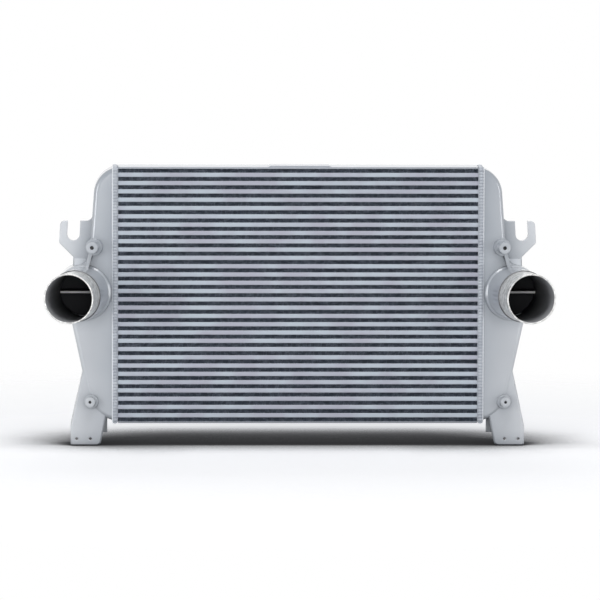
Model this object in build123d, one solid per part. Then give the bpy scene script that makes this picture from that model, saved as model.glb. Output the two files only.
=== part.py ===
from build123d import *
import os
from math import cos, radians, tan

# A bar-and-plate charge-air cooler: a brazed aluminium core between two cast end tanks.
# Millimetres, +Z up. The necks point to -Y. The feet stand on Z = 0, and the origin is
# below the middle of the whole part.

# ---- Brazed core ----
fin_rows = 31             # air rows, with a charge-air passage between each two
fin_height = 7.2
fin_length = 640.0        # open width of an air row
fin_setback = 1.2         # folded edge of a fin, behind the bar noses
closure_width = 8.0       # bar that shuts each end of an air row
sheet_thickness = 0.6
bar_height = 6.4          # long bars, which set the height of a passage
bar_width = 6.5
core_depth = 66.0
nose_bevel = 0.8          # bevel on the outer edges of every bar
web_count = 1             # turbulator webs in one passage
web_thickness = 2.4

# ---- Side plates and top pad ----
plate_thickness = 3.0
pad_length = 114.0
pad_depth = 46.0
pad_thickness = 2.4
pad_ramp = 5.0            # length of the slope at each end of the pad
pad_shift = 2.5           # pad centre, to the right of the core's middle

# ---- End tank: hollow body ----
foot_height = 40.7        # underside of the core above the floor
tank_wall = 6.0
edge_radius = 8.5         # rounding of the body's front outer edges
rear_bevel = 4.5          # bevel on the body's rear outer edges
mouth_lip = 3.0           # square lip that meets the core, under the weld
crown_out = 31.7          # upper corner before it is rounded, from the core's end
crown_radius = 49.0
upper_lean = 4.2          # degrees that the upper flank leans outwards, going down
toe_out = 36.0            # lower corner before it is rounded
toe_radius = 62.0
lower_lean = 12.3         # degrees that the lower flank leans outwards, going up
root_blend = 22.0         # hollow rounding where the flanks meet the neck's root

# ---- End tank: neck ----
neck_out = 53.3           # neck root centre, from the core's end
neck_drop = 220.9         # neck root centre, below the tank's top
neck_splay = 11.5         # degrees outwards from straight ahead
neck_reach = 130.0        # rim centre in front of the tank's face
root_radius = 49.5
root_inset = 0.2          # how far the raised ring stays inside the body's round end
root_height = 5.0         # raised ring round the neck's root
neck_radius = 46.2        # painted stretch, up to the machined step
hose_radius = 44.45       # machined collar that the hose slides over
hose_length = 56.0
bore_radius = 41.9
tie_thickness = 4.0       # cross rib that ties the front and rear walls behind the neck
tie_setback = 11.0        # front edge of the cross rib, behind the tank's face

# ---- End tank: hook ----
hook_reach = 97.0         # outer edge, from the core's end
hook_drop = 95.0          # hook's top, below the tank's top
hook_thickness = 14.0
hook_arm = 14.5
hook_tip_radius = 8.0
hook_heel_drop = 39.0     # where the outer edge turns in, below the hook's top
hook_heel_radius = 5.0
hook_heel_step = 25.0     # 45 degree slope from the heel back to the tank
hook_lean = 3.0           # degrees that the notch and outer edge lean towards the core, going up
hook_corner = 12.0        # hollow rounding from the hook's top to the flank
hook_flare = 6.0          # how far the thicker root stands out from the flank
hook_shoulder = 9.0       # top of the slope under the hook, above the neck's root ring
hook_shoulder_inset = 1.5
hook_flare_depth = 5.0    # how much thicker the root is, front and rear
notch_width = 22.0
notch_depth = 35.0

# ---- End tank: threaded bosses ----
upper_thread_radius = 3.4  # tapped hole for an M8 screw
lower_thread_radius = 2.5  # tapped hole for an M6 screw
thread_depth = 16.0
upper_boss_out = 34.0     # where the boss's axis meets the tank's face
upper_boss_drop = 139.4
upper_boss_height = 24.0  # face in front of the tank's face, along the axis
upper_boss_radius = 10.5
upper_boss_base = 15.0    # radius of the low round base that the boss stands on
upper_boss_step = 9.0     # front of this base, in front of the tank's face
lower_boss_out = 39.2
lower_boss_rise = 79.4
lower_boss_height = 14.0
lower_boss_radius = 9.0
lower_boss_base = 12.5
lower_boss_step = 5.0
gusset_out = 49.5         # lower end of the gusset's middle, on the neck
gusset_lean = 15.0        # degrees that it leans towards the core, going up
gusset_thickness = 7.0
gusset_height = 9.0       # gusset's front edge in front of the tank's face

# ---- End tank: leg ----
leg_wall = 7.0
leg_setback = 2.0         # leg's front plate, behind the tank's face
leg_top_out = 54.5        # where the leg's outer edge leaves the body
leg_top_rise = 137.0
leg_knee_out = 76.5       # the outer edge is upright below here
leg_knee_rise = 35.0
leg_front_inner = 23.5    # inner edge of the front plate, at the floor
leg_inner_lean = 11.3     # degrees that this edge leans towards the core, going up
leg_outer_corner = 5.0
leg_inner_corner = 9.0
leg_edge_bevel = 2.5      # on the front plate's outer edges
leg_lip_depth = 20.0      # flange behind the front plate's inner edge
leg_lip_rise = 14.0
leg_rear_inner = 11.0     # upright inner edge of the rear plate
leg_rear_rise = 18.5      # rear plate's bottom, above the floor
foot_hole_radius = 2.65
foot_hole_spacing = 24.4
foot_hole_rise = 12.5
foot_hole_out = 53.4      # middle of the two holes

# ---- Tank welds ----
weld_width = 11.0         # over the closure bars and the tank's lip
weld_height = 2.0
weld_slope = 1.8          # bevel on the bead's outer edges

# ---- Sizes that follow ----
tube_rows = fin_rows - 1
tube_height = bar_height + 2 * sheet_thickness
row_pitch = fin_height + tube_height
half_depth = core_depth / 2
core_half = fin_length / 2 + closure_width
core_base = foot_height + plate_thickness
core_top = core_base + fin_rows * fin_height + tube_rows * tube_height
tank_top = core_top + plate_thickness
neck_x = core_half + neck_out
neck_z = core_top - neck_drop
hook_z = core_top - hook_drop
upper_boss_z = core_top - upper_boss_drop
leg_front = half_depth - leg_setback


def block(x_range, y_range, z_range):
    """A box between two limits on each axis."""
    size = [high - low for low, high in (x_range, y_range, z_range)]
    middle = [(high + low) / 2 for low, high in (x_range, y_range, z_range)]
    return Pos(*middle) * Box(*size)


def front_prism(face, y_front, y_rear):
    """An outline drawn as X and Z, given depth between two Y values."""
    placed = Pos(0, y_rear, 0) * (Plane.XZ * face)
    return extrude(placed, amount=y_rear - y_front, dir=(0, -1, 0))


def outline(*points):
    return Polygon(*points, align=(Align.NONE, Align.NONE))


# ---- Brazed core ----
def row_base(row):
    return core_base + row * row_pitch


def air_row_cuts(row):
    """The open air row, and the bevelled groove that it leaves along both core faces."""
    low, high = row_base(row), row_base(row) + fin_height
    opening = block((-fin_length / 2, fin_length / 2), (-half_depth, half_depth), (low, high))
    groove = Polyline(
        (half_depth, low - nose_bevel),
        (half_depth - nose_bevel, low),
        (half_depth - nose_bevel, high),
        (half_depth, high + nose_bevel),
        close=True,
    )
    rear = extrude(Plane.YZ * make_face(groove), amount=core_half, both=True)
    return [opening, rear, mirror(rear, about=Plane.XZ)]


def passage_cuts(tube):
    """The cells that the turbulator's webs leave in one charge-air passage."""
    low = row_base(tube) + fin_height + sheet_thickness
    inner = core_depth - 2 * bar_width
    cell = (inner - web_count * web_thickness) / (web_count + 1)
    cuts = []
    for index in range(web_count + 1):
        start = -inner / 2 + index * (cell + web_thickness)
        cuts.append(block((-core_half, core_half), (start, start + cell), (low, low + bar_height)))
    return cuts


def core_matrix():
    """Parting sheets, long bars, closure bars and turbulators, brazed into one piece."""
    cuts = [cut for row in range(fin_rows) for cut in air_row_cuts(row)]
    cuts += [cut for tube in range(tube_rows) for cut in passage_cuts(tube)]
    solid = block((-core_half, core_half), (-half_depth, half_depth), (core_base, core_top))
    return solid - cuts


def air_fin(row):
    """The space that one corrugated fin fills between two sheets."""
    depth = half_depth - fin_setback
    low = row_base(row)
    return block((-fin_length / 2, fin_length / 2), (-depth, depth), (low, low + fin_height))


def side_plate(low):
    """The sheet that closes the outermost fins, between the two tank welds."""
    half = fin_length / 2
    return block((-half, half), (-half_depth, half_depth), (low, low + plate_thickness))


def top_pad():
    """A low doubler with sloping ends, along the front edge of the top side plate."""
    low = core_top + plate_thickness
    left, right = pad_shift - pad_length / 2, pad_shift + pad_length / 2
    shape = outline(
        (left, low),
        (right, low),
        (right - pad_ramp, low + pad_thickness),
        (left + pad_ramp, low + pad_thickness),
    )
    return front_prism(shape, -half_depth, -half_depth + pad_depth)


# ---- End tank ----
def body_outline():
    """Front view of the hollow body. It runs past the core's end, and is cut off there."""
    start = core_half - 2 * edge_radius
    upper_out = crown_out + (tank_top - neck_z) * tan(radians(upper_lean))
    lower_out = toe_out + (neck_z - core_base) * tan(radians(lower_lean))
    trunk = outline(
        (start, core_base),
        (core_half + toe_out, core_base),
        (core_half + lower_out, neck_z),
        (core_half + upper_out, neck_z),
        (core_half + crown_out, tank_top),
        (start, tank_top),
    )
    shape = trunk + Pos(neck_x, neck_z) * Rot(0, 0, 180) * Circle(root_radius)
    for x, z, radius in (
        (core_half + toe_out, core_base, toe_radius),
        (core_half + crown_out, tank_top, crown_radius),
        (core_half + upper_out, neck_z + root_radius, root_blend),
        (core_half + lower_out, neck_z - root_radius, root_blend),
    ):
        corner = shape.vertices().sort_by_distance((x, z, 0))[0]
        shape = fillet(corner, radius)
    return shape


def body():
    """The hollow body's outside: rounded outer edges, and a square lip at the core."""
    solid = front_prism(body_outline(), -half_depth, half_depth)
    for side, ease, amount in ((0, fillet, edge_radius), (-1, chamfer, rear_bevel)):
        rim = solid.faces().sort_by(Axis.Y)[side].edges()
        solid = ease(rim.filter_by(lambda edge: edge.center().X > core_half), amount)
    lip_end = core_half + mouth_lip
    solid &= block((lip_end, neck_x + 2 * root_radius), (-core_depth, core_depth), (0, 2 * tank_top))
    return solid + block((core_half, lip_end), (-half_depth, half_depth), (core_base, core_top))


def cavity():
    """The air space inside the body, open towards the core."""
    inner = offset(body_outline(), -tank_wall)
    return front_prism(inner, -half_depth + tank_wall, half_depth - tank_wall)


def splayed_frame(x, z):
    """A place on the tank's face, with Z along the neck, which the bosses point along too."""
    splay = radians(neck_splay)
    lean = (tan(splay) * cos(splay), -cos(splay), 0)
    return Plane(origin=(x, -half_depth, z), x_dir=(0, 0, 1), z_dir=lean).location


def neck():
    """Root ring, painted stretch and machined collar, turned about the neck's axis."""
    length = neck_reach / cos(radians(neck_splay))
    step = length - hose_length
    back = -2 * edge_radius
    ring = root_radius - root_inset
    profile = Polyline(
        (0, back),
        (ring, back),
        (ring, root_height / 2),
        (neck_radius, root_height),
        (neck_radius, step),
        (hose_radius, step),
        (hose_radius, length),
        (0, length),
        close=True,
    )
    turned = revolve(Plane.XZ * make_face(profile), axis=Axis.Z)
    return splayed_frame(neck_x, neck_z) * turned


def neck_bore():
    """The neck's bore, from the rim into the body's air space."""
    length = neck_reach / cos(radians(neck_splay))
    back = -2 * tank_wall
    bore = Cylinder(bore_radius, length - back, align=(Align.CENTER, Align.CENTER, Align.MIN))
    return splayed_frame(neck_x, neck_z) * (Pos(0, 0, back) * bore)


def cross_rib():
    """The web across the body behind the neck, which shows through the bore."""
    reach = neck_x + root_radius - tank_wall / 2
    return block(
        (core_half + mouth_lip, reach),
        (-half_depth + tie_setback, half_depth - tank_wall / 2),
        (neck_z - tie_thickness / 2, neck_z + tie_thickness / 2),
    )


def hook_shape():
    """Front view of the hook, from inside the body to its outer edge."""
    outer = core_half + hook_reach
    heel_z = hook_z - hook_heel_drop
    inner = core_half + crown_out
    foot_x = outer - hook_heel_step
    flank_x = inner + hook_drop * tan(radians(upper_lean))
    tip_x = outer - hook_heel_drop * tan(radians(hook_lean))
    high_x = flank_x - 2 * hook_corner * tan(radians(2 * upper_lean))
    plate = outline(
        (inner, hook_z + 2 * hook_corner),
        (high_x, hook_z + 2 * hook_corner),
        (flank_x, hook_z),
        (tip_x, hook_z),
        (outer, heel_z),
        (foot_x, heel_z - hook_heel_step),
        (foot_x, neck_z),
        (inner, neck_z),
    )
    for x, z, radius in (
        (flank_x, hook_z, hook_corner),
        (tip_x, hook_z, hook_tip_radius),
        (outer, heel_z, hook_heel_radius),
    ):
        corner = plate.vertices().sort_by_distance((x, z, 0))[0]
        plate = fillet(corner, radius)
    return plate


def hook():
    """The flat hook on the outer shoulder, with a round-bottomed notch open at the top."""
    plate = front_prism(hook_shape(), -hook_thickness / 2, hook_thickness / 2)
    notch_x = core_half + hook_reach - hook_arm - notch_width / 2
    notch_z = hook_z - notch_depth + notch_width / 2
    half = notch_width / 2
    slot = Circle(half) + outline((-half, 0), (half, 0), (half, 2 * notch_depth), (-half, 2 * notch_depth))
    notch = front_prism(slot, -hook_thickness, hook_thickness)
    return plate + hook_root() - Pos(notch_x, 0, notch_z) * Rot(0, -hook_lean, 0) * notch


def hook_root():
    """The hook's thicker root, tapering from the flank to the plate."""
    flank_x = core_half + crown_out + hook_drop * tan(radians(upper_lean))
    deep = hook_thickness / 2 + hook_flare_depth
    wedge = outline(
        (core_half + crown_out, deep),
        (flank_x, deep),
        (flank_x + hook_flare, hook_thickness / 2),
        (flank_x + hook_flare, -hook_thickness / 2),
        (flank_x, -deep),
        (core_half + crown_out, -deep),
    )
    return Pos(0, 0, neck_z) * extrude(wedge, amount=hook_z - neck_z)


def hook_shoulder_web():
    """The slope under the hook, from its plate down to the neck's root."""
    top = neck_z + root_radius + hook_shoulder
    slope = Polyline(
        (0, top),
        (-hook_thickness / 2, top),
        (-half_depth + edge_radius, top - 2 * hook_shoulder),
        (0, top - 2 * hook_shoulder),
        close=True,
    )
    inner = core_half + crown_out
    outer = core_half + hook_reach - hook_heel_step - hook_shoulder_inset
    return Pos(inner, 0, 0) * extrude(Plane.YZ * make_face(slope), amount=outer - inner)


def boss(x, z, depth, step, height, base_radius, face_radius):
    """A cast boss: a low round base on the tank, and a narrower barrel up to its flat face."""
    profile = Polyline(
        (0, -depth),
        (base_radius, -depth),
        (base_radius, step),
        (face_radius, step),
        (face_radius, height),
        (0, height),
        close=True,
    )
    return splayed_frame(x, z) * revolve(Plane.XZ * make_face(profile), axis=Axis.Z)


def bosses():
    upper = boss(
        core_half + upper_boss_out,
        upper_boss_z,
        half_depth,
        upper_boss_step,
        upper_boss_height,
        upper_boss_base,
        upper_boss_radius,
    )
    lower = boss(
        core_half + lower_boss_out,
        lower_boss_rise,
        leg_setback + leg_wall / 2,
        lower_boss_step,
        lower_boss_height,
        lower_boss_base,
        lower_boss_radius,
    )
    return upper + lower


def gusset():
    """The short rib from the upper boss down to the neck's root."""
    low = neck_z + hose_radius - tank_wall
    lean = tan(radians(gusset_lean))
    x = core_half + gusset_out
    high_x = x - lean * (upper_boss_z - low)
    half = gusset_thickness / 2
    shape = outline((x - half, low), (x + half, low), (high_x + half, upper_boss_z), (high_x - half, upper_boss_z))
    rib = front_prism(shape, -half_depth - gusset_height, 0)
    front = rib.faces().sort_by(Axis.Y)[0].edges().sort_by(Axis.X)
    return fillet([front[0], front[-1]], gusset_thickness / 3)


def threads():
    """The tapped holes in the two bosses, blind from the boss faces."""
    holes = []
    for x, z, height, radius in (
        (core_half + upper_boss_out, upper_boss_z, upper_boss_height, upper_thread_radius),
        (core_half + lower_boss_out, lower_boss_rise, lower_boss_height, lower_thread_radius),
    ):
        hole = Cylinder(radius, thread_depth, align=(Align.CENTER, Align.CENTER, Align.MAX))
        holes.append(splayed_frame(x, z) * (Pos(0, 0, height) * hole))
    return holes


def leg_shape():
    """Front view of the leg, from inside the body down to the floor."""
    lean = tan(radians(leg_inner_lean))
    flare = (leg_knee_out - leg_top_out) / (leg_top_rise - leg_knee_rise)
    top = leg_top_rise + leg_wall * 4
    inner_top = core_base + leg_knee_rise
    shape = outline(
        (core_half + leg_top_out - flare * leg_wall * 4, top),
        (core_half + leg_knee_out, leg_knee_rise),
        (core_half + leg_knee_out, 0),
        (core_half + leg_front_inner, 0),
        (core_half + leg_front_inner - lean * inner_top, inner_top),
    )
    outer = shape.vertices().sort_by_distance((core_half + leg_knee_out, 0, 0))[0]
    shape = fillet(outer, leg_outer_corner)
    inner = shape.vertices().sort_by_distance((core_half + leg_front_inner, 0, 0))[0]
    return fillet(inner, leg_inner_corner)


def leg_pocket():
    """The room behind the front plate and inside the outer wall, open to the core and the floor."""
    shape = outline(
        (core_half + leg_top_out - 2 * leg_wall, leg_top_rise + 6 * leg_wall),
        (core_half + leg_top_out - leg_wall, leg_top_rise),
        (core_half + leg_knee_out - leg_wall, leg_knee_rise),
        (core_half + leg_knee_out - leg_wall, -leg_wall),
        (core_half - leg_wall, -leg_wall),
        (core_half - leg_wall, leg_top_rise + 6 * leg_wall),
    )
    return front_prism(shape, -leg_front + leg_wall, leg_front + leg_wall)


def leg():
    """The leg: front plate with a flange, outer wall down to the floor, shorter rear plate."""
    post = front_prism(leg_shape(), -leg_front, leg_front)
    rim = post.faces().sort_by(Axis.Y)[0].edges()
    post = chamfer(rim.filter_by(lambda edge: edge.center().Z < leg_top_rise), leg_edge_bevel)
    post -= leg_pocket()

    lean = tan(radians(leg_inner_lean))
    top = core_base + leg_knee_rise
    foot_x = core_half + leg_front_inner - lean * leg_lip_rise
    top_x = core_half + leg_front_inner - lean * top
    flange = front_prism(
        outline((foot_x, leg_lip_rise), (foot_x + leg_wall, leg_lip_rise), (top_x + leg_wall, top), (top_x, top)),
        -leg_front + leg_edge_bevel,
        -leg_front + leg_lip_depth,
    )
    rear = front_prism(
        outline(
            (core_half + leg_rear_inner, leg_rear_rise),
            (core_half + leg_knee_out - leg_wall / 2, leg_rear_rise),
            (core_half + leg_knee_out - leg_wall / 2, leg_knee_rise),
            (core_half + leg_top_out - leg_wall / 2, leg_top_rise),
            (core_half + leg_rear_inner, top),
        ),
        leg_front - leg_wall,
        leg_front,
    )
    return post + flange + rear


def foot_holes():
    holes = []
    for side in (-0.5, 0.5):
        x = core_half + foot_hole_out + side * foot_hole_spacing
        hole = Cylinder(foot_hole_radius, 2 * leg_wall)
        holes.append(Pos(x, -leg_front, foot_hole_rise) * Rot(90, 0, 0) * hole)
    return holes


def end_tank():
    """The right-hand casting. The left one is its mirror image."""
    casting = body() + neck() + hook() + hook_shoulder_web() + bosses() + gusset() + leg()
    casting -= cavity()
    casting -= neck_bore()
    casting -= threads() + foot_holes()
    casting += cross_rib()
    far = neck_x + root_radius * 3
    room = block((core_half, far), (-far, far), (0, 2 * core_top))
    return casting & room


def tank_weld():
    """The bead that joins the right-hand tank to the core's end, all the way round."""
    near, far = core_half + mouth_lip - weld_width, core_half + mouth_lip
    outside = block(
        (near, far),
        (-half_depth - weld_height, half_depth + weld_height),
        (core_base - weld_height, core_top + weld_height),
    )
    ends = outside.faces().sort_by(Axis.X)
    bead = chamfer(ends[0].edges() + ends[-1].edges(), weld_slope)
    return bead - block((near, far), (-half_depth, half_depth), (core_base, core_top))


def pieces():
    """Every node by name."""
    right_tank = end_tank()
    right_weld = tank_weld()
    nodes = {
        "right_end_tank": right_tank,
        "left_end_tank": mirror(right_tank, about=Plane.YZ),
        "right_tank_weld": right_weld,
        "left_tank_weld": mirror(right_weld, about=Plane.YZ),
        "core_matrix": core_matrix(),
        "bottom_side_plate": side_plate(foot_height),
        "top_side_plate": side_plate(core_top),
        "top_pad": top_pad(),
    }
    for row in range(fin_rows):
        nodes[f"air_fin_{row + 1:02d}"] = air_fin(row)
    return nodes


def write_parts():
    """Centre the part over the origin in depth, and write one STEP for each node."""
    nodes = pieces()
    front = nodes["right_end_tank"].bounding_box().min.Y
    rear = nodes["right_tank_weld"].bounding_box().max.Y
    os.makedirs("parts", exist_ok=True)
    for name, solid in nodes.items():
        export_step(Pos(0, -(front + rear) / 2, 0) * solid, f"parts/{name}.step")


write_parts()
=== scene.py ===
import math
import bpy
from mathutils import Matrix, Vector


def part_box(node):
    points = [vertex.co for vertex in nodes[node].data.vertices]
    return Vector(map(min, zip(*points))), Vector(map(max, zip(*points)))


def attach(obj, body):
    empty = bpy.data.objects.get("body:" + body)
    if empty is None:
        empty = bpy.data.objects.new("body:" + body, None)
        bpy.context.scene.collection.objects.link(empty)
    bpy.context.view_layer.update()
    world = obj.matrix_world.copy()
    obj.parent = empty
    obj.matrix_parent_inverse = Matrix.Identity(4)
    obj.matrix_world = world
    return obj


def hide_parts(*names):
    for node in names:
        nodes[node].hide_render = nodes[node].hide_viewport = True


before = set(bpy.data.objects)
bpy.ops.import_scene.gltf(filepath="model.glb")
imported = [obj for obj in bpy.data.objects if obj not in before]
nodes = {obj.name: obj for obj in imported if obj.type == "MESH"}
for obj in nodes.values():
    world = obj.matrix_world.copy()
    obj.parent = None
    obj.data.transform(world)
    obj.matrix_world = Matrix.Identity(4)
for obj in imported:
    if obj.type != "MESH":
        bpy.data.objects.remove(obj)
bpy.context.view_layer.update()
bpy.ops.object.select_all(action="DESELECT")


# ---- Brazed core ----
# Parting sheets, long bars and closure bars, furnace-brazed into one aluminium block and
# sprayed with a thin silver lacquer. The bars' flat noses catch the light, and between
# them the sheets' edges and the bars' bevels show as fine lines.
core_low, core_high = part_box("core_matrix")
margin = 0.0005           # added past a face, so that its own points count as on it
core_cloud = 0.060        # width of a cloudy patch in the lacquer
core_grain = 0.0015       # the real spray's grain is under 0.2 mm, too fine to show
grain_height = 0.0001
spray_and_shade_depth = 0.0015      # how far the spray reaches into the rows


def linear(colour):
    """An sRGB hex colour as the linear values that a shader takes, by the standard curve."""
    parts = [int(colour[i:i + 2], 16) / 255 for i in (0, 2, 4)]
    return [p / 12.92 if p <= 0.04045 else ((p + 0.055) / 1.055) ** 2.4 for p in parts] + [1.0]


def add(tree, kind, inputs=None, **settings):
    """Adds one shader node with its settings and links, and gives the socket of its result.

    Inputs go by name, or by number where a node has several of one name: a Mix node's
    numbers are its inputs 2 and 3, and its colours are 6 and 7.
    """
    node = tree.nodes.new(kind)
    for name, value in settings.items():
        setattr(node, name, value)
    for name, value in (inputs or {}).items():
        if isinstance(value, bpy.types.NodeSocket):
            tree.links.new(value, node.inputs[name])
        else:
            node.inputs[name].default_value = value
    return next(socket for socket in node.outputs if socket.enabled)


def new_material(name, metallic, roughness):
    """A material with its node tree and its main shader."""
    material = bpy.data.materials.new(name)
    material.use_nodes = True
    shader = material.node_tree.nodes["Principled BSDF"]
    shader.inputs["Metallic"].default_value = metallic
    shader.inputs["Roughness"].default_value = roughness
    return material, material.node_tree, shader


def finish(piece, material):
    """Gives a whole piece one material."""
    for slot in piece.material_slots:
        slot.material = material
    if not piece.material_slots:
        piece.data.materials.append(material)


# Thin silver lacquer over brazed bars: satin, faintly cloudy, with a fine sprayed grain. It doesn't
# reach into the rows or the ends inside the tanks, which stay dull and get a painted dark shade.
core_lacquer, tree, shader = new_material("silver_lacquer_on_brazed_bars",
                                          metallic=0.25, roughness=0.55)
place = add(tree, "ShaderNodeTexCoord").node.outputs["Object"]
cloud = add(tree, "ShaderNodeTexNoise", {"Vector": place, "Scale": 1 / core_cloud, "Detail": 3.0})
cloud = add(tree, "ShaderNodeMapRange", {"Value": cloud, "From Min": 0.4, "From Max": 0.6})
tone = add(tree, "ShaderNodeMix", {0: cloud, 6: linear("a9abb7"), 7: linear("b3bcc5")},
           data_type="RGBA")
split = add(tree, "ShaderNodeSeparateXYZ", {"Vector": place}).node.outputs
behind = add(tree, "ShaderNodeMath", {0: split["Y"], 1: core_low[1] + spray_and_shade_depth},
             operation="GREATER_THAN")
before = add(tree, "ShaderNodeMath", {0: split["Y"], 1: core_high[1] - spray_and_shade_depth},
             operation="LESS_THAN")
rows = add(tree, "ShaderNodeMath", {0: behind, 1: before}, operation="MULTIPLY")
across = add(tree, "ShaderNodeMath", {0: split["X"]}, operation="ABSOLUTE")
ends = add(tree, "ShaderNodeMath", {0: across, 1: core_high[0] - margin}, operation="GREATER_THAN")
# Unsprayed metal, painted dark as shade too, inside the rows and at the ends in the tanks.
unsprayed_and_shaded = add(tree, "ShaderNodeMath", {0: rows, 1: ends}, operation="MAXIMUM")
tone = add(tree, "ShaderNodeMix", {0: unsprayed_and_shaded, 6: tone, 7: linear("4a4c54")}, data_type="RGBA")
tree.links.new(tone, shader.inputs["Base Color"])
grain = add(tree, "ShaderNodeTexNoise", {"Vector": place, "Scale": 1 / core_grain, "Detail": 2.0})
bump = add(tree, "ShaderNodeBump",
           {"Height": grain, "Strength": 0.3, "Distance": grain_height})
tree.links.new(bump, shader.inputs["Normal"])
finish(nodes["core_matrix"], core_lacquer)


# ---- Air fins ----
# In each air row lies one strip of thin aluminium foil, folded up and down and brazed to
# the sheets above and below. Going back, the folds swing from side to side, so that
# nothing is seen through a row.
fin_nodes = sorted(name for name in nodes if name.startswith("air_fin_"))
fin_low, fin_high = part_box(fin_nodes[0])
fin_pitch = 0.0048        # twice the real pitch, which is too fine to show
fin_foil = 0.0004         # drawn twice as thick as the real foil, for the same reason
fold_lean = 0.1           # how far a fold's wall leans, as a share of the pitch
fold_flat = 0.4           # width of its flat top and of its flat bottom, as the same share
spare_folds = 3           # past the row's length, to be cut off
fin_swing = 0.0026        # how far the folds swing to one side, and back again
fin_steps = 8             # swings from the front of the core to its back
fin_slip = 0.37           # how far each strip lies out of step with the one below, in pitches
foil_patch = 0.008        # width of a darker patch on the foil
foil_bend = 0.005         # width of the stretches that are bent alike
cut_depth = 0.0008        # how far back the brightness of a cut front edge goes
fin_rise = fin_high[2] - fin_low[2] - fin_foil
fin_folds = int((fin_high[0] - fin_low[0]) / fin_pitch) + spare_folds

# Bare foil from the brazing furnace: dull grey aluminium with faint darker patches, painted darker
# still as shade down in the rows. Its cut front edges carry a painted highlight, the more so where
# a fold is bent.
foil_metal, tree, shader = new_material("brazed_aluminium_foil", metallic=0.5, roughness=0.5)
place = add(tree, "ShaderNodeTexCoord").node.outputs["Object"]
patch = add(tree, "ShaderNodeTexNoise", {"Vector": place, "Scale": 1 / foil_patch, "Detail": 2.0})
patch = add(tree, "ShaderNodeMapRange", {"Value": patch, "From Min": 0.3, "From Max": 0.7})
wall_tone_with_shade = add(tree, "ShaderNodeMix", {0: patch, 6: linear("4f5868"), 7: linear("657082")},
                data_type="RGBA")
# The cut front edges get a painted highlight, stronger in random stretches.
bend_glint = add(tree, "ShaderNodeTexNoise", {"Vector": place, "Scale": 1 / foil_bend, "Detail": 1.0})
bend_glint = add(tree, "ShaderNodeMapRange", {"Value": bend_glint, "From Min": 0.4, "From Max": 0.6})
edge_highlight_tone = add(tree, "ShaderNodeMix", {0: bend_glint, 6: linear("535c6a"), 7: linear("98a2b2")},
                data_type="RGBA")
split = add(tree, "ShaderNodeSeparateXYZ", {"Vector": place}).node.outputs
front_edge = add(tree, "ShaderNodeMath", {0: split["Y"], 1: fin_low[1] + cut_depth},
                 operation="LESS_THAN")
foil_tone = add(tree, "ShaderNodeMix", {0: front_edge, 6: wall_tone_with_shade, 7: edge_highlight_tone},
                data_type="RGBA")
tree.links.new(foil_tone, shader.inputs["Base Color"])


def extrude(*move):
    """Extrudes what is selected in edit mode, by that move."""
    bpy.ops.mesh.extrude_region_move(TRANSFORM_OT_translate={"value": move})


# One fold seen from the front: up, along the top, down and along the bottom. It is drawn
# back through the core in steps that swing to and fro.
bpy.ops.mesh.primitive_plane_add(size=fin_pitch)
fold = bpy.context.object
bpy.ops.object.mode_set(mode="EDIT")
bpy.ops.mesh.merge(type="CENTER")
for across, up in ((fold_lean, 1), (fold_flat, 0), (fold_lean, -1), (fold_flat, 0)):
    extrude(across * fin_pitch, 0, up * fin_rise)
bpy.ops.mesh.select_all(action="SELECT")
for step in range(fin_steps):
    extrude(fin_swing * (-1) ** step, (fin_high[1] - fin_low[1]) / fin_steps, 0)
bpy.ops.mesh.select_all(action="SELECT")
bpy.ops.mesh.normals_make_consistent(inside=False)
start_x = -(fin_folds * fin_pitch + fin_swing) / 2
bpy.ops.transform.translate(value=(start_x, fin_low[1], fin_low[2] + fin_foil / 2))
bpy.ops.object.mode_set(mode="OBJECT")
row = fold.modifiers.new("row", "ARRAY")
row.count = fin_folds
row.use_relative_offset = False
row.use_constant_offset = True
row.constant_offset_displace = (fin_pitch, 0, 0)
row.use_merge_vertices = True
row.merge_threshold = fin_foil / 10
wall = fold.modifiers.new("wall", "SOLIDIFY")
wall.thickness = fin_foil
wall.offset = 0
bpy.ops.object.modifier_apply(modifier="row")
bpy.ops.object.modifier_apply(modifier="wall")
finish(fold, foil_metal)
fold.select_set(False)

# Each strip is cut off at the closure bars. They aren't in step, as they are laid by hand.
for index, name in enumerate(fin_nodes):
    strip = fold.copy()
    strip.data = fold.data.copy()
    strip.name = strip.data.name = f"folded_{name}"
    bpy.context.collection.objects.link(strip)
    bpy.context.view_layer.objects.active = strip
    strip.select_set(True)
    slip = (index * fin_slip % 1 - 0.5) * fin_pitch
    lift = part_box(name)[0][2] - fin_low[2]
    bpy.ops.object.mode_set(mode="EDIT")
    bpy.ops.mesh.select_all(action="SELECT")
    bpy.ops.transform.translate(value=(slip, 0, lift))
    for end, way in ((fin_low[0], (1, 0, 0)), (fin_high[0], (-1, 0, 0))):
        bpy.ops.mesh.select_all(action="SELECT")
        bpy.ops.mesh.bisect(plane_co=(end, 0, 0), plane_no=way, use_fill=True, clear_inner=True)
    bpy.ops.object.mode_set(mode="OBJECT")
    strip.select_set(False)
    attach(strip, "root")
    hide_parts(name)
bpy.data.objects.remove(fold)


# ---- Side plates and top pad ----
# Rolled aluminium sheets that close the first and last fins, brazed on with the rest of the
# core. The top one carries a thin doubler in its middle.
sheet_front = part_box("top_side_plate")[0][1]
sheet_cloud = 0.080       # width of a cloudy patch in the lacquer
shaded_edge_depth = 0.0003    # how far back the darker sheared edge goes
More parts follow.
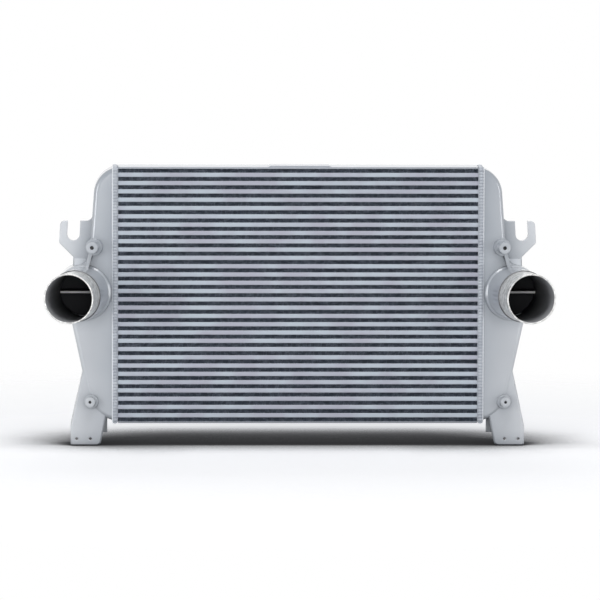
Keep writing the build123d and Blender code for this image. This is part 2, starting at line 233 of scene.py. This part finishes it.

# The core's silver lacquer, smooth on the rolled sheet and painted pale there, as light on the
# sheets' tops. Their sheared front edges are thinly covered and painted darker, as shade.
sheet_lacquer, tree, shader = new_material("silver_lacquer_on_rolled_sheet",
                                           metallic=0.3, roughness=0.25)
place = add(tree, "ShaderNodeTexCoord").node.outputs["Object"]
cloud = add(tree, "ShaderNodeTexNoise", {"Vector": place, "Scale": 1 / sheet_cloud, "Detail": 2.0})
cloud = add(tree, "ShaderNodeMapRange", {"Value": cloud, "From Min": 0.3, "From Max": 0.7})
light_painted_face = add(tree, "ShaderNodeMix", {0: cloud, 6: linear("dcdfe4"), 7: linear("e6e9ed")},
                data_type="RGBA")
split = add(tree, "ShaderNodeSeparateXYZ", {"Vector": place}).node.outputs
shaded_sheared_edge = add(tree, "ShaderNodeMath", {0: split["Y"], 1: sheet_front + shaded_edge_depth},
              operation="LESS_THAN")
sheet_tone = add(tree, "ShaderNodeMix", {0: shaded_sheared_edge, 6: light_painted_face, 7: linear("8b8f96")},
                 data_type="RGBA")
tree.links.new(sheet_tone, shader.inputs["Base Color"])
for name in ("bottom_side_plate", "top_side_plate", "top_pad"):
    finish(nodes[name], sheet_lacquer)


# ---- End tanks ----
# Sand-cast aluminium tanks, welded to the core's ends. They are powder-coated silver, and
# then turned bare round the end of the neck, where the hose clamps on.
tank_wall = 0.006
neck_out = 0.0533         # neck's root, out from the core's end
neck_drop = 0.2209        # and down from the core's top
neck_splay = math.radians(11.5)
neck_reach = 0.130        # rim's middle in front of the tank's face
neck_bore = 0.0419
hose_length = 0.056       # from the machined step to the rim
room_radius = 0.0455      # air space behind the bore
rib_setback = 0.011       # front edge of the cross rib, behind the tank's face
rib_thickness = 0.004
cast_edge = 0.003         # softness of the casting's edges and corners
neck_root = (core_high[0] + neck_out, core_low[1], core_high[2] - neck_drop)
neck_rim = neck_reach / math.cos(neck_splay)
neck_step = neck_rim - hose_length

tank_cloud = 0.090        # width of a cloudy patch in the coat
coat_peel = 0.0022        # width of a dimple of its orange peel
peel_height = 0.0001
pale_lean = 1 / 12        # the pale part's border leans outwards by this, going up
pale_start = 0.311        # from the cooler's middle, level with the floor
pale_full = 0.418
pale_waver = 0.03         # how far the border wanders
hollow_size = 0.03        # hollows up to this size are duller
stain_size = 0.008
step_line_reach = 0.0009      # to each side of the machined step
ring_step = 0.002         # ten times the lathe's real feed, so that the rings show

# Silver powder coat on a casting: glossy, with a soft orange peel and rounded edges. Where
# it is turned off, the metal is bright, with fine rings. The inside is raw and dull.
tank_coat, tree, shader = new_material("silver_powder_coat_on_cast_aluminium",
                                       metallic=0.2, roughness=0.42)
shader.inputs["Coat Roughness"].default_value = 0.1
place = add(tree, "ShaderNodeTexCoord").node.outputs["Object"]

# Both tanks are measured as the right-hand one: along is the way out on the neck's axis,
# and aside is the distance from that axis.
split = add(tree, "ShaderNodeSeparateXYZ", {"Vector": place}).node.outputs
mirrored = add(tree, "ShaderNodeMath", {0: split["X"]}, operation="ABSOLUTE")
right = add(tree, "ShaderNodeCombineXYZ", {"X": mirrored, "Y": split["Y"], "Z": split["Z"]})
offset = add(tree, "ShaderNodeVectorMath", {0: right, 1: neck_root}, operation="SUBTRACT")
axis = (math.sin(neck_splay), -math.cos(neck_splay), 0)
along = add(tree, "ShaderNodeVectorMath", {0: offset, 1: axis}, operation="DOT_PRODUCT")
on_axis = add(tree, "ShaderNodeVectorMath", {0: axis, "Scale": along}, operation="SCALE")
spoke = add(tree, "ShaderNodeVectorMath", {0: offset, 1: on_axis}, operation="SUBTRACT")
aside = add(tree, "ShaderNodeVectorMath", {0: spoke}, operation="LENGTH")
turned = add(tree, "ShaderNodeMath", {0: along, 1: neck_step - margin}, operation="GREATER_THAN")

# The bore ends at the rim. The air space behind it is a round room inside the walls.
bore = add(tree, "ShaderNodeMath", {0: aside, 1: neck_bore + margin}, operation="LESS_THAN")
below_rim = add(tree, "ShaderNodeMath", {0: along, 1: neck_rim - margin}, operation="LESS_THAN")
bore = add(tree, "ShaderNodeMath", {0: bore, 1: below_rim}, operation="MULTIPLY")
flat = add(tree, "ShaderNodeVectorMath", {0: offset, 1: (1, 0, 1)}, operation="MULTIPLY")
room = add(tree, "ShaderNodeVectorMath", {0: flat}, operation="LENGTH")
room = add(tree, "ShaderNodeMath", {0: room, 1: room_radius}, operation="LESS_THAN")
behind = add(tree, "ShaderNodeMath", {0: split["Y"], 1: neck_root[1] + tank_wall - margin},
             operation="GREATER_THAN")
room = add(tree, "ShaderNodeMath", {0: room, 1: behind}, operation="MULTIPLY")
inside = add(tree, "ShaderNodeMath", {0: bore, 1: room}, operation="MAXIMUM")
before = add(tree, "ShaderNodeMath", {0: split["Y"], 1: core_high[1] - tank_wall / 2},
             operation="LESS_THAN")
inside = add(tree, "ShaderNodeMath", {0: inside, 1: before}, operation="MULTIPLY")

# The cross rib's front edge is painted bright, as a highlight.
edge = add(tree, "ShaderNodeMath", {0: split["Y"], 1: neck_root[1] + rib_setback, 2: margin},
           operation="COMPARE")
level = add(tree, "ShaderNodeMath", {0: split["Z"], 1: neck_root[2], 2: rib_thickness / 2 + margin},
            operation="COMPARE")
rib_highlight = add(tree, "ShaderNodeMath", {0: edge, 1: level}, operation="MULTIPLY")
rib_highlight = add(tree, "ShaderNodeMath", {0: rib_highlight, 1: inside}, operation="MULTIPLY")

# The coat is painted palest on the leg, the neck and the hook, and darker up the tank and in
# towards the core, as painted light and shade. Hollows get painted shade too, and the deepest
# hollows, such as the screw holes, are painted near black.
cloud = add(tree, "ShaderNodeTexNoise", {"Vector": place, "Scale": 1 / tank_cloud, "Detail": 2.0})
pale = add(tree, "ShaderNodeMath", {0: split["Z"], 1: -pale_lean, 2: mirrored},
           operation="MULTIPLY_ADD")
pale = add(tree, "ShaderNodeMath", {0: cloud, 1: pale_waver, 2: pale}, operation="MULTIPLY_ADD")
pale = add(tree, "ShaderNodeMapRange",
           {"Value": pale, "From Min": pale_start, "From Max": pale_full})
coat_tone = add(tree, "ShaderNodeMix", {0: pale, 6: linear("969ca4"), 7: linear("d2d5d9")},
                data_type="RGBA")
# Painted shade in the hollows, by how open each point is.
sky = add(tree, "ShaderNodeAmbientOcclusion", {"Distance": hollow_size}, samples=8)
sky = sky.node.outputs["AO"]
coat_tone = add(tree, "ShaderNodeMix", {0: sky, 6: linear("7b828b"), 7: coat_tone},
                data_type="RGBA")
# The deepest hollows, such as the screw holes, are painted near black as shade.
clear_of_deep_shade = add(tree, "ShaderNodeMapRange", {"Value": sky, "From Min": 0.2, "From Max": 0.4})
coat_tone = add(tree, "ShaderNodeMix", {0: clear_of_deep_shade, 6: linear("2b2c30"), 7: coat_tone},
                data_type="RGBA")

# The turned metal has stains, and a dark line runs round the machined step.
stain = add(tree, "ShaderNodeTexNoise", {"Vector": place, "Scale": 1 / stain_size, "Detail": 6.0})
stain = add(tree, "ShaderNodeMapRange", {"Value": stain, "From Min": 0.36, "From Max": 0.62})
bare_tone = add(tree, "ShaderNodeMix", {0: stain, 6: linear("c0c0be"), 7: linear("f4f4f2")},
                data_type="RGBA")
step_dark_line = add(tree, "ShaderNodeMath", {0: along, 1: neck_step, 2: step_line_reach}, operation="COMPARE")
bare_tone = add(tree, "ShaderNodeMix", {0: step_dark_line, 6: bare_tone, 7: linear("6a6b6e")},
                data_type="RGBA")

# The raw casting inside is painted darker the deeper it lies, as shade.
bore_shade = add(tree, "ShaderNodeMapRange", {"Value": along, "From Max": neck_rim})
raw_shaded_tone = add(tree, "ShaderNodeMix", {0: bore_shade, 6: linear("2c2d31"), 7: linear("b4b5b8")},
               data_type="RGBA")

skin = add(tree, "ShaderNodeMix", {0: turned, 6: coat_tone, 7: bare_tone}, data_type="RGBA")
skin = add(tree, "ShaderNodeMix", {0: inside, 6: skin, 7: raw_shaded_tone}, data_type="RGBA")
skin = add(tree, "ShaderNodeMix", {0: rib_highlight, 6: skin, 7: linear("f2f2f0")}, data_type="RGBA")
tree.links.new(skin, shader.inputs["Base Color"])

# Each finish on the coated, the turned and the raw surface.
finishes = {
    "Metallic": (0.2, 0.45, 0.5),
    "Roughness": (0.42, 0.34, 0.6),
    "Coat Weight": (1.0, 0.0, 0.0),
}
for socket, (coated, bare, raw) in finishes.items():
    value = add(tree, "ShaderNodeMix", {0: turned, 2: coated, 3: bare})
    value = add(tree, "ShaderNodeMix", {0: inside, 2: value, 3: raw})
    tree.links.new(value, shader.inputs[socket])

# Relief: the coat's orange peel, and the lathe's rings on the turned metal.
peel = add(tree, "ShaderNodeTexNoise", {"Vector": place, "Scale": 1 / coat_peel, "Detail": 1.0})
turn = add(tree, "ShaderNodeMath", {0: along, 1: 2 * math.pi / ring_step}, operation="MULTIPLY")
rings = add(tree, "ShaderNodeMath", {0: turn}, operation="SINE")
grain = add(tree, "ShaderNodeMix", {0: turned, 2: peel, 3: rings})
soft = add(tree, "ShaderNodeBevel", {"Radius": cast_edge}, samples=6)
bump = add(tree, "ShaderNodeBump",
           {"Height": grain, "Strength": 0.35, "Distance": peel_height, "Normal": soft})
tree.links.new(bump, shader.inputs["Normal"])

# The castings' meshes are smoothed over all but their real edges.
merge_gap = 0.00002       # points nearer than this are one
sharp_angle = math.radians(28)
for side in ("right", "left"):
    tank = nodes[f"{side}_end_tank"].copy()
    tank.data = tank.data.copy()
    tank.name = tank.data.name = f"{side}_coated_tank"
    bpy.context.collection.objects.link(tank)
    bpy.context.view_layer.objects.active = tank
    tank.select_set(True)
    bpy.ops.object.mode_set(mode="EDIT")
    bpy.ops.mesh.select_all(action="SELECT")
    bpy.ops.mesh.remove_doubles(threshold=merge_gap)
    bpy.ops.object.mode_set(mode="OBJECT")
    bpy.ops.mesh.customdata_custom_splitnormals_clear()
    bpy.ops.object.shade_smooth_by_angle(angle=sharp_angle)
    even = tank.modifiers.new("even", "WEIGHTED_NORMAL")
    even.keep_sharp = True
    even.weight = 100
    bpy.ops.object.modifier_apply(modifier="even")
    tank.select_set(False)
    finish(tank, tank_coat)
    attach(tank, "root")
    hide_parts(f"{side}_end_tank")


# ---- Tank welds ----
# A hand-laid bead that joins each tank to the core's end, all the way round. It is built up
# of overlapping ripples, one for each dab of the filler rod, and coated with the tank.
bead_slope = 0.0018       # bevel that the bead's bed has on both sides
ripple_step = 0.0055
ripple_half = 0.62        # half a ripple's length, in steps: more than 0.5, so they overlap
ripple_rise = 0.0015      # height of a ripple above the bead's bed
ripple_tilt = math.radians(14)     # each ripple leans on the one before it
weld_cloud = 0.020        # width of a cloudy patch in the coat
bead_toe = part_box("right_tank_weld")[1][0] - bead_slope

# Silver coat over the rippled bead: satin, with a painted highlight along the bead's toe on the
# tank.
weld_coat, tree, shader = new_material("silver_coat_on_weld_bead", metallic=0.2, roughness=0.36)
place = add(tree, "ShaderNodeTexCoord").node.outputs["Object"]
cloud = add(tree, "ShaderNodeTexNoise", {"Vector": place, "Scale": 1 / weld_cloud, "Detail": 3.0})
cloud = add(tree, "ShaderNodeMapRange", {"Value": cloud, "From Min": 0.3, "From Max": 0.7})
weld_tone = add(tree, "ShaderNodeMix", {0: cloud, 6: linear("a4a9b2"), 7: linear("bbc0c7")},
                data_type="RGBA")
split = add(tree, "ShaderNodeSeparateXYZ", {"Vector": place}).node.outputs
mirrored = add(tree, "ShaderNodeMath", {0: split["X"]}, operation="ABSOLUTE")
toe_highlight = add(tree, "ShaderNodeMath", {0: mirrored, 1: bead_toe}, operation="GREATER_THAN")
weld_tone = add(tree, "ShaderNodeMix", {0: toe_highlight, 6: weld_tone, 7: linear("eef1f5")},
                data_type="RGBA")
tree.links.new(weld_tone, shader.inputs["Base Color"])

# The ripples go up the bead's front and back faces (along Z, standing out in Y), and across
# its top and bottom faces (along Y, standing out in Z).
for side in ("right", "left"):
    bed = nodes[f"{side}_tank_weld"]
    finish(bed, weld_coat)
    low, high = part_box(bed.name)
    centre = [(a + b) / 2 for a, b in zip(low, high)]
    reach = [(b - a) / 2 for a, b in zip(low, high)]
    bpy.ops.mesh.primitive_uv_sphere_add(segments=10, ring_count=6, radius=1)
    ripple = bpy.context.object
    ripple.select_set(False)
    dabs = []
    for line, out in ((2, 1), (1, 2)):
        count = round(2 * reach[line] / ripple_step)
        for face in (-1, 1):
            for index in range(count):
                dab = ripple.copy()
                dab.data = ripple.data.copy()
                dab.scale[0] = reach[0] - bead_slope / 2
                dab.scale[line] = ripple_step * ripple_half
                dab.scale[out] = ripple_rise
                dab.rotation_euler[0] = ripple_tilt
                dab.location = centre
                dab.location[line] += (2 * index + 1 - count) / count * (reach[line] - bead_slope)
                dab.location[out] += face * reach[out]
                bpy.context.collection.objects.link(dab)
                dabs.append(dab)
    bpy.data.objects.remove(ripple)
    for dab in dabs:
        dab.select_set(True)
    bpy.context.view_layer.objects.active = dabs[0]
    bpy.ops.object.join()
    bead = bpy.context.object
    bpy.ops.object.transform_apply(location=True, rotation=True, scale=True)
    bead.name = bead.data.name = f"{side}_weld_ripples"
    bpy.ops.object.shade_smooth()
    bead.select_set(False)
    finish(bead, weld_coat)
    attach(bead, "root")


# ---- Floor ----
# A plain white table that takes the cooler's soft shadow, partly painted into its colour. It is
# a wide disc that fades out towards its rim, so that no edge shows against the white behind.
floor_radius = 1.6
fade_start = 0.6
fade_end = 1.5
shade_reach = 0.3         # how far off the cooler still shades the floor
shade_depth = 3.0         # how steeply the shadow darkens under it
light_lean = math.radians(30)
floor_glow = 0.25         # seen by the camera only, so it puts no light on the cooler

# Matt white board: no gloss at all. Besides the lamps' real shadow, a painted shadow greys it
# where the cooler closes it off from the light, which comes from above and in front.
floor_white, tree, shader = new_material("matt_white_table", metallic=0.0, roughness=0.9)
shader.inputs["Specular IOR Level"].default_value = 0.0
to_light = add(tree, "ShaderNodeCombineXYZ",
               {"Y": -math.sin(light_lean), "Z": math.cos(light_lean)})
painted_unshadowed = add(tree, "ShaderNodeAmbientOcclusion", {"Distance": shade_reach, "Normal": to_light},
          samples=16).node.outputs["AO"]
painted_unshadowed = add(tree, "ShaderNodeMapRange", {"Value": painted_unshadowed, "From Min": 0.45, "From Max": 0.9})
painted_unshadowed = add(tree, "ShaderNodeMath", {0: painted_unshadowed, 1: shade_depth}, operation="POWER")
white = add(tree, "ShaderNodeMix", {0: painted_unshadowed, 6: linear("454546"), 7: linear("f6f6f7")},
            data_type="RGBA")
tree.links.new(white, shader.inputs["Base Color"])
tree.links.new(white, shader.inputs["Emission Color"])
camera_ray = add(tree, "ShaderNodeLightPath").node.outputs["Is Camera Ray"]
glow = add(tree, "ShaderNodeMath", {0: camera_ray, 1: floor_glow}, operation="MULTIPLY")
tree.links.new(glow, shader.inputs["Emission Strength"])
place = add(tree, "ShaderNodeTexCoord").node.outputs["Object"]
spot = add(tree, "ShaderNodeVectorMath", {0: place}, operation="LENGTH")
rim = add(tree, "ShaderNodeMapRange", {"Value": spot, "From Min": fade_start, "From Max": fade_end})
clear = add(tree, "ShaderNodeBsdfTransparent")
fade = add(tree, "ShaderNodeMixShader", {0: rim, 1: shader.outputs[0], 2: clear})
tree.links.new(fade, tree.nodes["Material Output"].inputs["Surface"])

bpy.ops.mesh.primitive_circle_add(vertices=96, radius=floor_radius, fill_type="NGON")
floor = bpy.context.object
floor.name = "floor"
finish(floor, floor_white)


# ---- Studio ----
# A white room with one large softbox high in front, two low ones out to the sides, and
# weaker ones low in front and high behind. Behind the cooler, and where the metal mirrors
# it, the room is plain white.
room_light = 0.28
cooler_middle = (0, 0, 0.25)
world = bpy.data.worlds.new("white_room")
bpy.context.scene.world = world
world.use_nodes = True
tree = world.node_tree
dim = tree.nodes["Background"]
dim.inputs["Color"].default_value = linear("e8ecf2")
dim.inputs["Strength"].default_value = room_light
bright = add(tree, "ShaderNodeBackground", {"Color": linear("ffffff"), "Strength": 1.0})
rays = add(tree, "ShaderNodeLightPath").node.outputs
seen = add(tree, "ShaderNodeMath", {0: rays["Is Camera Ray"], 1: rays["Is Glossy Ray"]},
           operation="MAXIMUM")
seen = add(tree, "ShaderNodeMath", {0: seen, 1: rays["Is Transmission Ray"]},
           operation="MAXIMUM")
both = add(tree, "ShaderNodeMixShader", {0: seen, 1: dim.outputs[0], 2: bright})
tree.links.new(both, tree.nodes["World Output"].inputs["Surface"])


def softbox(name, spot, wide, tall, watts):
    """A rectangular lamp at a spot, turned to face the middle of the cooler."""
    bpy.ops.object.light_add(type="AREA", location=spot)
    lamp = bpy.context.object
    lamp.name = name
    lamp.data.shape = "RECTANGLE"
    lamp.data.size = wide
    lamp.data.size_y = tall
    lamp.data.energy = watts
    way = [a - s for a, s in zip(cooler_middle, spot)]
    pitch = math.atan2(way[2], math.hypot(way[0], way[1]))
    lamp.rotation_euler = (math.pi / 2 + pitch, 0, math.atan2(-way[0], way[1]))


softbox("left_softbox", (-2.8, -2.0, 0.4), wide=1.0, tall=1.8, watts=36)
softbox("right_softbox", (2.8, -2.0, 0.4), wide=1.0, tall=1.8, watts=26)
softbox("top_softbox", (0, -6.0, 12.6), wide=9.0, tall=5.0, watts=950)
softbox("back_softbox", (0, 5.5, 5.0), wide=4.0, tall=2.5, watts=70)
softbox("front_softbox", (-0.2, -4.0, 0.6), wide=1.2, tall=0.8, watts=14)


# ---- Camera ----
# A long lens, far in front of the cooler and a little to the left and above, so that it is
# seen almost flat on. It is turned very slightly about its own axis.
yaw = math.radians(1.8)
pitch = math.radians(5)
distance = 12.0
roll = math.radians(0.18)
aim = (0.0034, 0.0354, 0.2610)
bpy.ops.object.camera_add()
camera = bpy.context.object
camera.location = (
    aim[0] - distance * math.sin(yaw) * math.cos(pitch),
    aim[1] - distance * math.cos(yaw) * math.cos(pitch),
    aim[2] + distance * math.sin(pitch),
)
camera.rotation_euler = (math.pi / 2 - pitch, 0, -yaw)
camera.rotation_euler.rotate_axis("Z", roll)
camera.data.lens = 404.7
camera.data.sensor_width = 36
camera.data.clip_end = 100
bpy.context.scene.camera = camera
bpy.context.scene.view_settings.view_transform = "Standard"
